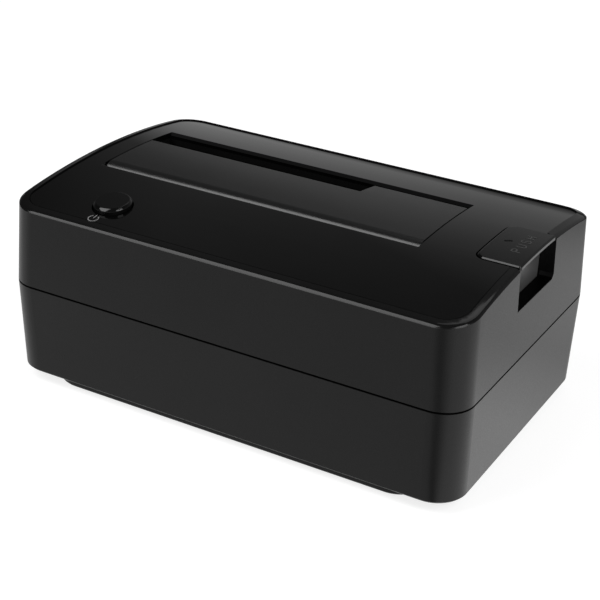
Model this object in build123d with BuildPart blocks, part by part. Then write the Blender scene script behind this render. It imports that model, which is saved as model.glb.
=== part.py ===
"""Hard drive docking station: a two-part case with an arched top, a drive bay under a spring flap,
a power key and a lever ejector.

Millimetres. +X runs along the length, +Y to the rear and +Z up. The origin is the middle of the
footprint, on the surface that the feet stand on.
"""
import os
from math import atan2, cos, pi, sin, sqrt

from build123d import *

os.makedirs("parts", exist_ok=True)

# Case, outside
case_length = 144.0
case_depth = 94.0
crown_height = 59.8
arch_rise = 4.3
seam_height = 31.7
seam_gap = 0.6
case_bottom = 3.4
upper_draft_x = 1.1
upper_draft_y = 0.85
lower_draft_x = 0.4
lower_draft_y = 1.7
case_corner = 9.2
rim_width = 2.75
rim_bevel = 0.7
bottom_bevel = 0.7

# Case, inside
case_wall = 2.2
floor_wall = 2.0
panel_wall = 1.8
deck_wall = 1.8
panel_gap = 0.15
lip_wall = 1.2
lip_height = 2.6
lip_gap = 0.25
lip_bite = 1.0
lip_root = 3.0

# Flap opening and the round and bevel on its front and rear lips
opening_left_gap = 10.5
opening_right_gap = 29.5
opening_front = -13.6
opening_rear_gap = 25.1
lip_round = 0.5
rear_bevel_width = 1.1
rear_bevel_depth = 0.8

# Flap
flap_wall = 1.8
flap_side_gap = 0.4
flap_front_gap = 0.6
flap_rear_gap = 2.7
hinge_depth = 3.8
knuckle_length = 8.0
knuckle_radius = 2.6
slot_depth = 10.3
slot_length = 73.1
slot_slant = 1.2
flap_rib_wall = 1.0
flap_rib_depth = 1.6
flap_rib_count = 5
flap_edge_round = 0.3

# Hinge pin and its bosses
pin_radius = 1.0
pin_seat_gap = 0.03
pin_run_gap = 0.07
boss_wall = 1.5
boss_length = 4.0
pin_bore_depth = 3.2
pin_end_gap = 0.3

# Torsion spring on the hinge pin
hinge_spring_radius = 1.5
hinge_spring_wire = 0.45
hinge_spring_pitch = 1.1
hinge_spring_quarter_turns = 9
hinge_spring_leg = 4.2
hinge_spring_gap = 0.6
hinge_stop_gap = 0.05
hinge_stop_width = 2.0
hinge_stop_drop = 1.0

# Drive bay
bay_wall = 1.6
bay_reveal = 0.3
bay_floor = 17.5
bay_top_gap = 0.1
bay_tab_width = 8.0
bay_tab_reach = 6.0
bay_tab_wall = 2.0
bay_tab_boss = 4.0
bay_tab_drop = 8.3
bay_tab_share = 0.2
bay_rib_wall = 1.2
bay_rib_depth = 1.4
bay_rib_pitch = 26.0
bay_rib_count = 4
bay_rib_drop = 12.8

# Screws
case_screw_end_gap = 18.0
case_screw_edge_gap = 11.0
screw_radius = 1.5
screw_head_radius = 2.8
screw_head_height = 1.4
screw_hole_gap = 0.2
screw_pilot_gap = 0.03
screw_bite = 7.0
screw_recess_length = 3.0
screw_recess_width = 0.7
screw_recess_depth = 0.8
tower_radius = 4.2
tower_top = 24.0
post_radius = 3.6
case_screw_seat = 2.6

# Base plate and feet
plate_end_setback = 12.0
plate_setback = 1.9
plate_corner = 9.0
foot_stand = 1.0
foot_radius = 5.5
foot_bevel = 0.4
plate_edge = 0.5
foot_end_gap = 29.0
foot_edge_gap = 14.0

# Main board
board_end_gap = 9.5
board_length = 82.5
board_front_gap = 5.5
board_rear_gap = 4.4
board_top = 8.6
board_wall = 1.6
board_corner = 2.0
board_notch_gap = 0.5
standoff_inset = 4.5
standoff_left_y = 22.0
standoff_edge_gap = 11.0
standoff_size = 5.6
floor_rib_end_gap = 38.0
floor_rib_pitch = 11.0
floor_rib_count = 3
floor_rib_height = 1.6
floor_rib_length = 50.0
post_fin_reach = 6.0
post_fin_top = 18.0

# Drive connector
sata_end_gap = 30.0
sata_rear_gap = 4.5
sata_length = 42.4
sata_depth = 6.4
sata_height = 11.0
sata_ear_length = 3.4
sata_ear_cut = 3.0
sata_slot_depth = 5.0
sata_slot_width = 2.4
sata_key_wall = 1.2
sata_data_length = 10.4
sata_power_length = 20.8
sata_slot_gap = 2.4
sata_contact_pitch = 1.27
sata_contact_width = 0.6
sata_contact_wall = 0.3
sata_data_contacts = 7
sata_power_contacts = 15
window_gap = 0.4

# Rear sockets
port_setback = 0.7
port_gap = 0.25
esata_inset = 21.5
esata_length = 15.2
esata_height = 7.4
esata_depth = 16.0
esata_tongue_length = 9.4
esata_tongue_wall = 1.5
usb_inset = 45.5
usb_length = 12.0
usb_height = 10.9
usb_depth = 17.0
usb_corner_cut = 1.6
usb_tongue_length = 5.6
usb_tongue_wall = 3.2
socket_shell = 0.4
socket_back = 6.0
tongue_setback = 1.4
tongue_corner = 0.4
dc_inset = 69.5
dc_length = 9.0
dc_height = 11.0
dc_depth = 14.0
dc_bore_radius = 3.15
dc_pin_radius = 1.0
dc_bore_depth = 9.5
dc_barrel_radius = 4.2
dc_barrel_length = 3.4

# Small parts on the board
chip_inset_x = 58.5
chip_inset_y = 17.5
chip_size = 9.0
chip_height = 1.0
chip_chamfer = 0.3
capacitor_inset_x = 40.5
capacitor_inset_y = 7.5
capacitor_pitch = 9.0
capacitor_count = 2
capacitor_radius = 3.15
capacitor_height = 7.0
capacitor_edge = 0.5
coil_inset_x = 69.5
coil_inset_y = 5.5
coil_size = 6.6
coil_height = 3.0
coil_corner = 1.4
coil_cup_radius = 2.3
coil_cup_depth = 0.6
crystal_inset_x = 40.5
crystal_inset_y = 21.5
crystal_length = 10.8
crystal_width = 4.4
crystal_height = 3.4
crystal_flange = 0.4

# Power key and its switch
key_end_gap = 29.2
key_edge_gap = 13.0
key_radius = 5.5
key_stand = 1.8
key_bevel = 0.7
key_gap = 0.4
key_travel = 1.5
key_wall = 1.2
key_flange = 1.1
key_flange_wall = 1.2
key_tube_wall = 1.4
key_tube_drop = 8.8
key_rest_gap = 0.3
key_stem_radius = 1.9
switch_size = 8.4
switch_height = 7.0
switch_hole_depth = 4.6
switch_corner = 0.8
plunger_radius = 1.6
plunger_gap = 0.15
plunger_top = 20.0
plunger_spare = 0.7

# Eject key, its pocket and its spring
tab_end_gap = 14.5
tab_front = -11.6
tab_depth = 25.2
tab_stand = 0.5
tab_lip_wall = 1.2
tab_corner = 3.0
tab_side_corner = 0.8
tab_edge_bevel = 0.4
tab_gap = 0.45
tab_wall = 1.4
tab_skirt_end_gap = 5.2
pocket_drop = 12.7
pocket_corner_cut = 1.2
tab_hook_reach = 1.0
tab_hook_height = 2.0
tab_hook_gap = 0.4
tab_hook_width = 4.0
well_wall = 1.4
well_drop = 16.2
leg_end_gap = 12.0
leg_y = 6.0
leg_thickness = 3.0
leg_width = 6.0
leg_gap = 0.3
tab_spring_y = -5.5
tab_spring_radius = 2.0
tab_spring_wire = 0.5
tab_spring_quarter_turns = 16
tab_spring_drop = 19.8
tab_spring_post_radius = 2.6
tab_spring_spigot_radius = 1.45
tab_spring_spigot_height = 3.0
tab_spring_gap = 0.1

# Ejector rocker
rocker_end_gap = 36.0
rocker_rear_gap = 6.9
rocker_z = 12.9
rocker_width = 6.0
rocker_side_gap = 0.3
rocker_hub_radius = 2.4
rocker_arm_wall = 2.4
rocker_toe_gap = 4.3
rocker_toe_length = 5.0
rocker_toe_clearance = 0.4
rocker_slot_reach = 5.0
rocker_slot_gap = 0.5
rocker_elbow_reach = 10.0
rocker_pad_start = 20.0
rocker_pad_end = 28.0
rocker_pad_height = 20.5
ear_wall = 2.0
ear_reach = 3.2

# One overrun serves every cut that has to pass right through
overrun = 1.0

# Shares of a size, sides of a spring's wire, and how far apart along it two points are compared
half_share = 0.5
nose_share = 0.45
quarter_turns_apart = 3
wire_sides = 8

# Places worked out from the sizes above
top_length = case_length - 2 * upper_draft_x
top_depth = case_depth - 2 * upper_draft_y
bottom_length = case_length - 2 * lower_draft_x
bottom_depth = case_depth - 2 * lower_draft_y
arch_radius = (arch_rise**2 + (top_depth / 2) ** 2) / (2 * arch_rise)
arch_centre = crown_height - arch_radius
upper_bottom = seam_height + seam_gap / 2
lower_top = seam_height - seam_gap / 2
deck_top_radius = arch_radius - panel_wall
deck_under_radius = deck_top_radius - deck_wall
opening_left = opening_left_gap - case_length / 2
opening_right = case_length / 2 - opening_right_gap
opening_length = opening_right - opening_left
opening_rear = case_depth / 2 - opening_rear_gap
opening_depth = opening_rear - opening_front
opening_x = (opening_left + opening_right) / 2
opening_y = (opening_front + opening_rear) / 2
floor_top = case_bottom + floor_wall
board_under = board_top - board_wall
slot_front = opening_rear - slot_depth
slot_right = opening_left + slot_length
bay_tab_top = crown_height - bay_tab_drop
case_screw_x = case_length / 2 - case_screw_end_gap
case_screw_y = case_depth / 2 - case_screw_edge_gap
foot_x = case_length / 2 - foot_end_gap
foot_y = case_depth / 2 - foot_edge_gap

# Board, and what stands on it, from the case's left end and the board's front
board_left = board_end_gap - case_length / 2
board_right = board_left + board_length
board_front = board_front_gap - case_depth / 2
board_rear = case_depth / 2 - board_rear_gap
esata_x = board_left + esata_inset
usb_x = board_left + usb_inset
dc_x = board_left + dc_inset
chip_x = board_left + chip_inset_x
chip_y = board_front + chip_inset_y
capacitor_x = board_left + capacitor_inset_x
capacitor_y = board_front + capacitor_inset_y
coil_x = board_left + coil_inset_x
coil_y = board_front + coil_inset_y
crystal_x = board_left + crystal_inset_x
crystal_y = board_front + crystal_inset_y
sata_x = opening_left + sata_end_gap
sata_y = opening_rear - sata_rear_gap
key_x = key_end_gap - case_length / 2
key_y = key_edge_gap - case_depth / 2


def arch_height(y, radius):
    """Height of the arch of this radius at depth y."""
    return arch_centre + sqrt(radius**2 - y**2)


def arch_point(y, radius):
    """Point of the arch of this radius at depth y, in a section across the length."""
    return (y, arch_height(y, radius))


def rounded_block(length, depth, corner, low, high):
    """Upright block with rounded corners round the middle of the case."""
    with BuildPart() as block:
        with BuildSketch(Plane.XY.offset(low)):
            RectangleRounded(length, depth, corner)
        extrude(amount=high - low)
    return block.part


def tapered_block(low_size, low, high_size, high, inset=0):
    """Upright block with drafted sides and rounded corners between two outlines, drawn in by the inset."""
    with BuildPart() as block:
        for plane, axis, mode in ((Plane.XZ, 0, Mode.ADD), (Plane.YZ, 1, Mode.INTERSECT)):
            low_half = low_size[axis] / 2 - inset
            high_half = high_size[axis] / 2 - inset
            with BuildSketch(plane):
                with BuildLine():
                    Polyline(
                        (-low_half, low), (low_half, low), (high_half, high), (-high_half, high), close=True
                    )
                make_face()
            extrude(amount=case_length, both=True, mode=mode)
        fillet(block.edges().group_by(Axis.Z)[1], case_corner - inset)
    return block.part


def arch_cylinder(radius):
    """Solid under the arch of this radius, longer than the case."""
    with BuildPart() as under:
        with BuildSketch(Plane.YZ):
            with Locations((0, arch_centre)):
                Circle(radius)
        extrude(amount=case_length / 2 + overrun, both=True)
    return under.part


def wound_wire(plane, radius, pitch, quarter_turns, start_angle, leg, wire):
    """Wire wound up the plane's normal: each quarter turn is two arcs, with a straight leg at each end."""
    slope = atan2(pitch, 2 * pi * radius)

    def wound_point(angle):
        return (
            plane.origin
            + (plane.x_dir * cos(angle) + plane.y_dir * sin(angle)) * radius
            + plane.z_dir * (pitch * (angle - start_angle) / (2 * pi))
        )

    def wound_tangent(angle):
        return (plane.y_dir * cos(angle) - plane.x_dir * sin(angle)) * cos(slope) + plane.z_dir * sin(slope)

    with BuildLine() as path:
        if leg > 0:
            first = wound_point(start_angle)
            Line(first - wound_tangent(start_angle) * leg, first)
        for quarter in range(quarter_turns):
            low_angle = start_angle + quarter * pi / 2
            high_angle = low_angle + pi / 2
            low, high = wound_point(low_angle), wound_point(high_angle)
            low_way, high_way = wound_tangent(low_angle), wound_tangent(high_angle)
            span = high - low
            bend = 2 * (1 - low_way.dot(high_way))
            drive = 2 * span.dot(low_way + high_way)
            reach = (sqrt(drive**2 + 4 * bend * span.dot(span)) - drive) / (2 * bend)
            joint = (low + low_way * reach + high - high_way * reach) / 2
            TangentArc(low, joint, tangent=low_way)
            TangentArc(joint, high, tangent=(high - high_way * reach - joint).normalized())
        if leg > 0:
            Line(high, high + high_way * leg)
    with BuildPart() as wound:
        with BuildSketch(Plane(origin=path.line @ 0, z_dir=path.line % 0)):
            RegularPolygon(wire / 2, wire_sides)
        sweep(path=path.line)
    points = [edge @ share for edge in path.line.edges() for share in (0, half_share)]
    far = quarter_turns_apart * 2 * 2
    gaps = [
        (points[index] - other).length - wire
        for index in range(len(points))
        for other in points[index + far :]
    ]
    print("least gap of the wire to itself", round(min(gaps), 3))
    return wound.part


def case_inset(length, depth, inset):
    """Rounded outline drawn in from a case outline: length, depth and corner radius."""
    return (length - 2 * inset, depth - 2 * inset, case_corner - inset)


seam_size = (case_length, case_depth)
top_size = (top_length, top_depth)
bottom_size = (bottom_length, bottom_depth)
case_screw_places = [(x, y) for x in (-case_screw_x, case_screw_x) for y in (-case_screw_y, case_screw_y)]

# Hinge axis: the flap's front is a roll about it that meets the arch without a step
hinge_y = opening_front + flap_front_gap + hinge_depth
hinge_z = arch_height(hinge_y, arch_radius - hinge_depth)

# Bay inside and outside
bay_left = opening_left - bay_reveal
bay_right = opening_right + bay_reveal
bay_front = opening_front - bay_reveal
bay_rear = opening_rear + bay_reveal
bay_outer_left = bay_left - bay_wall
bay_outer_right = bay_right + bay_wall
bay_outer_front = bay_front - bay_wall
bay_outer_rear = bay_rear + bay_wall
bay_under = bay_floor - bay_wall

# Bay tabs: two in front and two behind
bay_tab_front = bay_outer_front - bay_tab_reach / 2
bay_tab_rear = bay_outer_rear + bay_tab_reach / 2
bay_tab_reach_x = opening_length * bay_tab_share
bay_tab_xs = (opening_x - bay_tab_reach_x, opening_x + bay_tab_reach_x)
bay_tab_places = [(x, y) for x in bay_tab_xs for y in (bay_tab_front, bay_tab_rear)]

# Eject key plan and the well that guides it
tab_left = case_length / 2 - tab_end_gap
tab_skirt_right = case_length / 2 - tab_skirt_end_gap
tab_right = top_length / 2
tab_rear = tab_front + tab_depth
tab_y = (tab_front + tab_rear) / 2
tab_spring_x = (tab_left + tab_skirt_right) / 2
well_left = tab_left - tab_gap
well_right = tab_skirt_right + tab_gap
well_front = tab_front - tab_gap
well_rear = tab_rear + tab_gap
well_bottom = crown_height - well_drop
pocket_sill = crown_height - pocket_drop
tab_spring_seat = crown_height - tab_spring_drop
tab_skirt_bottom = well_bottom - tab_hook_gap - tab_hook_height
leg_x = case_length / 2 - leg_end_gap
leg_foot = rocker_pad_height + leg_gap

# Rocker plan
rocker_x = case_length / 2 - rocker_end_gap
rocker_y = opening_rear - rocker_rear_gap
rocker_front = rocker_y - rocker_width / 2
rocker_rear = rocker_y + rocker_width / 2
rocker_toe_left = sata_x + sata_length / 2 + rocker_toe_gap
rocker_slot_right = rocker_x - rocker_slot_reach
rocker_slot_left = rocker_toe_left - rocker_slot_gap
rocker_slot_front = rocker_front - rocker_slot_gap
rocker_slot_rear = rocker_rear + rocker_slot_gap

# Power key heights
key_top = arch_height(key_y, arch_radius) + key_stand
key_tube_bottom = crown_height - key_tube_drop
key_tube_radius = key_radius + key_gap
key_skirt_bottom = key_tube_bottom - key_rest_gap - key_flange_wall
key_roof = key_top - key_wall - key_bevel
switch_top = board_top + switch_height
plunger_foot = switch_top - switch_hole_depth + key_travel + plunger_spare

# Drive connector heights
sata_top = board_top + sata_height
sata_key_left = sata_x - sata_length / 2 + sata_ear_length + sata_key_wall
sata_data_x = sata_key_left + sata_data_length / 2
sata_power_x = sata_key_left + sata_data_length + sata_slot_gap + sata_power_length / 2

# Rear sockets: their mouths stand back from the tapered rear wall
port_mouth = bottom_depth / 2 - port_setback + (case_depth - bottom_depth) / 2 * (
    (board_top - case_bottom) / (lower_top - case_bottom)
)

# Outer form of the upper housing, its cavity, the panel recess and the blocks for well and bosses
with BuildPart() as upper_form:
    add(tapered_block(seam_size, upper_bottom, top_size, crown_height))
    add(arch_cylinder(arch_radius), mode=Mode.INTERSECT)
    chamfer(upper_form.faces().sort_by(Axis.Z)[-1].edges(), rim_bevel)

with BuildPart() as upper_cavity:
    add(tapered_block(seam_size, upper_bottom - overrun, top_size, crown_height, case_wall))
    add(arch_cylinder(deck_under_radius), mode=Mode.INTERSECT)

with BuildPart() as panel_recess:
    add(rounded_block(*case_inset(*top_size, rim_width), upper_bottom, crown_height + overrun))
    add(arch_cylinder(deck_top_radius), mode=Mode.SUBTRACT)

with BuildPart() as upper_blocks:
    with BuildSketch(Plane.XY.offset(well_bottom)):
        with Locations(((well_left - well_wall + case_length / 2) / 2, tab_y)):
            Rectangle(case_length / 2 - well_left + well_wall, tab_depth + 2 * (tab_gap + well_wall))
    extrude(amount=crown_height - well_bottom)
    for boss_start in (bay_outer_left - boss_length, bay_outer_right):
        with BuildSketch(Plane.YZ.offset(boss_start)):
            with Locations((hinge_y, hinge_z)):
                Circle(pin_radius + boss_wall)
            with Locations((hinge_y, (hinge_z + crown_height) / 2)):
                Rectangle(2 * (pin_radius + boss_wall), crown_height - hinge_z)
        extrude(amount=boss_length)
    add(upper_form.part, mode=Mode.INTERSECT)
    add(arch_cylinder(deck_top_radius), mode=Mode.INTERSECT)

# Upper housing: matt shell with a rim, a deck under the top panel, posts, the key tube and the key well
with BuildPart() as upper_housing:
    add(upper_form.part)
    add(upper_cavity.part, mode=Mode.SUBTRACT)
    with BuildSketch(Plane.XY.offset(tower_top)):
        with Locations(*case_screw_places):
            Circle(post_radius)
    extrude(until=Until.NEXT)
    with BuildSketch(Plane.XY.offset(bay_tab_top)):
        with Locations(*bay_tab_places):
            Rectangle(bay_tab_width, bay_tab_boss)
    extrude(until=Until.NEXT)
    with BuildSketch(Plane.XY.offset(key_tube_bottom)):
        with Locations((key_x, key_y)):
            Circle(key_tube_radius + key_tube_wall)
    extrude(until=Until.NEXT)
    add(upper_blocks.part)
    add(panel_recess.part, mode=Mode.SUBTRACT)
    # Flap opening, bore of the key tube and well of the eject key
    with BuildSketch(Plane.XY.offset(bay_tab_top)):
        with Locations((opening_x, opening_y)):
            Rectangle(opening_length, opening_depth)
    extrude(amount=crown_height - bay_tab_top, mode=Mode.SUBTRACT)
    with BuildSketch(Plane.XY.offset(key_tube_bottom)):
        with Locations((key_x, key_y)):
            Circle(key_tube_radius)
    extrude(amount=crown_height - key_tube_bottom, mode=Mode.SUBTRACT)
    with BuildSketch(Plane.XY.offset(well_bottom)) as well_plan:
        with Locations(((well_left + well_right) / 2, tab_y)):
            Rectangle(well_right - well_left, tab_depth + 2 * tab_gap)
        fillet(well_plan.vertices().group_by(Axis.X)[0], tab_corner + tab_gap)
    extrude(amount=crown_height - well_bottom, mode=Mode.SUBTRACT)
    # Pocket under the eject key's lip, open to the right
    with BuildSketch(Plane.YZ.offset(tab_skirt_right)):
        with BuildLine():
            Polyline(
                (well_front, crown_height + overrun),
                (well_front, pocket_sill),
                (well_rear - pocket_corner_cut, pocket_sill),
                (well_rear, pocket_sill + pocket_corner_cut),
                (well_rear, crown_height + overrun),
                close=True,
            )
        make_face()
    extrude(amount=case_length / 2 - tab_skirt_right + overrun, mode=Mode.SUBTRACT)
    # Pilot holes for the case screws
    with BuildSketch(Plane.XY.offset(tower_top)):
        with Locations(*case_screw_places):
            Circle(screw_radius + screw_pilot_gap)
    extrude(amount=screw_bite + overrun, mode=Mode.SUBTRACT)
    # Seats for the hinge pin, open below, where the bay's side walls close them
    for seat_start in (bay_outer_left - pin_bore_depth, opening_right):
        with BuildSketch(Plane.YZ.offset(seat_start)):
            with Locations((hinge_y, hinge_z)):
                Circle(pin_radius + pin_seat_gap)
            with Locations((hinge_y, hinge_z - (pin_radius + boss_wall) / 2)):
                Rectangle(2 * (pin_radius + pin_seat_gap), pin_radius + boss_wall)
        extrude(amount=pin_bore_depth + bay_wall + bay_reveal, mode=Mode.SUBTRACT)

upper_housing.part.label = "upper_housing"
export_step(upper_housing.part, "parts/upper_housing.step")

# Top panel: glossy inlay that lies in the rim, cut for the flap, the power key and the eject key
with BuildPart() as top_panel:
    add(rounded_block(*case_inset(*top_size, rim_width + panel_gap), upper_bottom, crown_height))
    add(arch_cylinder(arch_radius), mode=Mode.INTERSECT)
    add(arch_cylinder(deck_top_radius), mode=Mode.SUBTRACT)
    with BuildSketch(Plane.XY.offset(upper_bottom)):
        with Locations((opening_x, opening_y)):
            Rectangle(opening_length, opening_depth)
        with Locations((key_x, key_y)):
            Circle(key_tube_radius)
    extrude(amount=crown_height - upper_bottom + overrun, mode=Mode.SUBTRACT)
    with BuildSketch(Plane.XY.offset(upper_bottom)) as notch_plan:
        with Locations(((well_left + case_length / 2) / 2, tab_y)):
            Rectangle(case_length / 2 - well_left, tab_depth + 2 * tab_gap)
        fillet(notch_plan.vertices().group_by(Axis.X)[0], tab_corner + tab_gap)
    extrude(amount=crown_height - upper_bottom + overrun, mode=Mode.SUBTRACT)
    long_edges = top_panel.edges().filter_by(Axis.X)
    rear_edges = long_edges.filter_by_position(Axis.Y, opening_rear - panel_gap, opening_rear + panel_gap)
    chamfer(rear_edges.sort_by(Axis.Z)[-1], rear_bevel_width, rear_bevel_depth)
    long_edges = top_panel.edges().filter_by(Axis.X)
    front_edges = long_edges.filter_by_position(Axis.Y, opening_front - panel_gap, opening_front + panel_gap)
    fillet(front_edges.sort_by(Axis.Z)[-1], lip_round)

top_panel.part.label = "top_panel"
export_step(top_panel.part, "parts/top_panel.step")

# Flap: one section along its length, with a roll about the hinge axis, knuckles and ribs below
hinge_lean = atan2(-hinge_y, hinge_z - arch_centre)
flap_left = opening_left + flap_side_gap
flap_right = opening_right - flap_side_gap
flap_rear = opening_rear - flap_rear_gap
flap_under_radius = arch_radius - flap_wall
roll_inner = hinge_depth - flap_wall
flap_middle_y = (hinge_y + flap_rear) / 2


def roll_point(radius, share):
    """Point on a roll about the hinge axis, from the top (0) round to the front (1)."""
    start = pi / 2 + hinge_lean
    angle = start + share * (pi - start)
    return (hinge_y + radius * cos(angle), hinge_z + radius * sin(angle))


knuckle_starts = (
    flap_left,
    (flap_left + flap_right - knuckle_length) / 2,
    flap_right - knuckle_length,
)
with BuildPart() as drive_flap:
    with BuildSketch(Plane.YZ.offset(flap_left)):
        with BuildLine():
            ThreePointArc(*[roll_point(hinge_depth, share) for share in (0, half_share, 1)])
            Line(roll_point(hinge_depth, 1), roll_point(roll_inner, 1))
            ThreePointArc(*[roll_point(roll_inner, share) for share in (1, half_share, 0)])
            ThreePointArc(
                roll_point(roll_inner, 0),
                arch_point(flap_middle_y, flap_under_radius),
                arch_point(flap_rear, flap_under_radius),
            )
            Line(arch_point(flap_rear, flap_under_radius), arch_point(flap_rear, arch_radius))
            ThreePointArc(
                arch_point(flap_rear, arch_radius),
                arch_point(flap_middle_y, arch_radius),
                roll_point(hinge_depth, 0),
            )
        make_face()
    extrude(amount=flap_right - flap_left)
    fillet(drive_flap.edges().filter_by(Axis.X).sort_by(Axis.Y)[-2:], flap_edge_round)
    # Notch that a small drive goes through
    with BuildSketch(Plane.XY.offset(hinge_z)):
        with BuildLine():
            Polyline(
                (flap_left - overrun, slot_front),
                (slot_right, slot_front),
                (slot_right + slot_slant, flap_rear + overrun),
                (flap_left - overrun, flap_rear + overrun),
                close=True,
            )
        make_face()
    extrude(amount=crown_height - hinge_z + overrun, mode=Mode.SUBTRACT)
    # Knuckles and the pin's hole
    for knuckle_start in knuckle_starts:
        with BuildSketch(Plane.YZ.offset(knuckle_start)):
            with Locations((hinge_y, hinge_z)):
                Circle(knuckle_radius)
        extrude(amount=knuckle_length)
    with BuildSketch(Plane.YZ.offset(flap_left)):
        with Locations((hinge_y, hinge_z)):
            Circle(pin_radius + pin_run_gap)
    extrude(amount=flap_right - flap_left, mode=Mode.SUBTRACT)
    # Ribs across the underside, from the pin's hole to the notch
    rib_pitch = (flap_right - flap_left - knuckle_length) / (flap_rib_count - 1)
    rib_end = arch_height(slot_front, flap_under_radius)
    for index in range(flap_rib_count):
        rib_x = flap_left + knuckle_length / 2 + index * rib_pitch
        with BuildSketch(Plane.YZ.offset(rib_x - flap_rib_wall / 2)):
            with BuildLine():
                Polyline(
                    (hinge_y, hinge_z + pin_radius + pin_run_gap + flap_rib_wall / 2),
                    (slot_front - flap_rib_depth, rib_end - flap_rib_depth / 2),
                    (slot_front, rib_end),
                    (slot_front, rib_end + flap_wall / 2),
                    (hinge_y, hinge_z + hinge_depth - flap_wall / 2),
                    close=True,
                )
            make_face()
        extrude(amount=flap_rib_wall)

drive_flap.part.label = "drive_flap"
export_step(drive_flap.part, "parts/drive_flap.step")

# Hinge pin
with BuildPart() as flap_hinge_pin:
    with BuildSketch(Plane.YZ.offset(bay_outer_left - pin_bore_depth + pin_end_gap)):
        with Locations((hinge_y, hinge_z)):
            Circle(pin_radius)
    extrude(amount=bay_outer_right - bay_outer_left + 2 * (pin_bore_depth - pin_end_gap))

flap_hinge_pin.part.label = "flap_hinge_pin"
export_step(flap_hinge_pin.part, "parts/flap_hinge_pin.step")

# Torsion spring round the hinge pin: one leg lies under the flap, the other against a stop in the bay
hinge_spring_start = flap_left + knuckle_length + hinge_spring_gap
hinge_spring_end = hinge_spring_start + hinge_spring_pitch * hinge_spring_quarter_turns / 4
spring_plane = Plane(origin=(hinge_spring_start, hinge_y, hinge_z), x_dir=(0, 1, 0), z_dir=(1, 0, 0))
with BuildPart() as flap_spring:
    add(
        wound_wire(
            spring_plane,
            hinge_spring_radius,
            hinge_spring_pitch,
            hinge_spring_quarter_turns,
            pi / 2,
            hinge_spring_leg,
            hinge_spring_wire,
        )
    )

flap_spring.part.label = "flap_spring"
export_step(flap_spring.part, "parts/flap_spring.step")

# Drive bay: open box that hangs from the deck by four tabs
bay_length = bay_outer_right - bay_outer_left
bay_depth = bay_outer_rear - bay_outer_front
ear_front = rocker_front - rocker_side_gap - ear_wall
ear_rear = rocker_rear + rocker_side_gap
with BuildPart() as drive_bay:
    with BuildSketch(Plane.XY.offset(bay_under)):
        with Locations((opening_x, opening_y)):
            Rectangle(bay_length, bay_depth)
    extrude(amount=crown_height - bay_under)
    # Ribs on the front and rear walls
    with BuildSketch(Plane.XY.offset(bay_under)):
        with Locations((opening_x, opening_y)):
            with GridLocations(bay_rib_pitch, 1, bay_rib_count, 1):
                Rectangle(bay_rib_wall, bay_depth + 2 * bay_rib_depth)
    extrude(amount=crown_height - bay_rib_drop - bay_under)
    # Tabs under the deck's pads, each with two gussets
    with BuildSketch(Plane.XY.offset(bay_tab_top - bay_tab_wall)):
        with Locations(*bay_tab_places):
            Rectangle(bay_tab_width, bay_tab_reach)
    extrude(amount=bay_tab_wall)
    for tab_x in bay_tab_xs:
        for gusset_start in (tab_x - bay_tab_width / 2, tab_x + bay_tab_width / 2 - bay_rib_wall):
            for wall_y, side in ((bay_outer_front, -1), (bay_outer_rear, 1)):
                with BuildSketch(Plane.YZ.offset(gusset_start)):
                    with BuildLine():
                        Polyline(
                            (wall_y, bay_tab_top - bay_tab_wall),
                            (wall_y + side * bay_tab_reach, bay_tab_top - bay_tab_wall),
                            (wall_y, bay_tab_top - bay_tab_wall - bay_tab_reach),
                            close=True,
                        )
                    make_face()
                extrude(amount=bay_rib_wall)
    add(arch_cylinder(deck_under_radius - bay_top_gap), mode=Mode.INTERSECT)
    with BuildSketch(Plane.XY.offset(bay_floor)):
        with Locations((opening_x, opening_y)):
            Rectangle(bay_right - bay_left, bay_rear - bay_front)
    extrude(amount=crown_height - bay_floor, mode=Mode.SUBTRACT)
    # Stop for the torsion spring's lower leg, on the front wall
    stop_depth = hinge_y - hinge_spring_radius - hinge_spring_wire / 2 - hinge_stop_gap - bay_front
    stop_top = hinge_z - hinge_stop_drop
    with BuildSketch(Plane.XY.offset(stop_top - hinge_spring_leg)):
        with Locations((hinge_spring_end + hinge_spring_wire / 2, bay_front + stop_depth / 2)):
            Rectangle(hinge_stop_width, stop_depth)
    extrude(amount=hinge_spring_leg)
    # Window for the drive connector and slot for the rocker
    with BuildSketch(Plane.XY.offset(bay_under)):
        with Locations((sata_x, sata_y)):
            Rectangle(sata_length + 2 * window_gap, sata_depth + 2 * window_gap)
        with Locations(((rocker_slot_left + rocker_slot_right) / 2, rocker_y)):
            Rectangle(rocker_slot_right - rocker_slot_left, rocker_slot_rear - rocker_slot_front)
    extrude(amount=bay_wall, mode=Mode.SUBTRACT)
    # Ears for the rocker's pin, below the floor
    for ear_start in (ear_front, ear_rear):
        with BuildSketch(Plane.XZ.offset(-ear_start - ear_wall)):
            with Locations((rocker_x, rocker_z)):
                Circle(ear_reach)
            with Locations((rocker_x, (rocker_z + bay_under) / 2)):
                Rectangle(2 * ear_reach, bay_under - rocker_z)
            with Locations((rocker_x, rocker_z)):
                Circle(pin_radius + pin_seat_gap, mode=Mode.SUBTRACT)
        extrude(amount=ear_wall)
    # Open seats for the hinge pin in the side walls
    with BuildSketch(Plane.YZ.offset(bay_outer_left)):
        with Locations((hinge_y, hinge_z)):
            Circle(pin_radius + pin_seat_gap)
        with Locations((hinge_y, (hinge_z + crown_height) / 2)):
            Rectangle(2 * (pin_radius + pin_seat_gap), crown_height - hinge_z)
    extrude(amount=bay_length, mode=Mode.SUBTRACT)

drive_bay.part.label = "drive_bay"
export_step(drive_bay.part, "parts/drive_bay.step")

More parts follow.
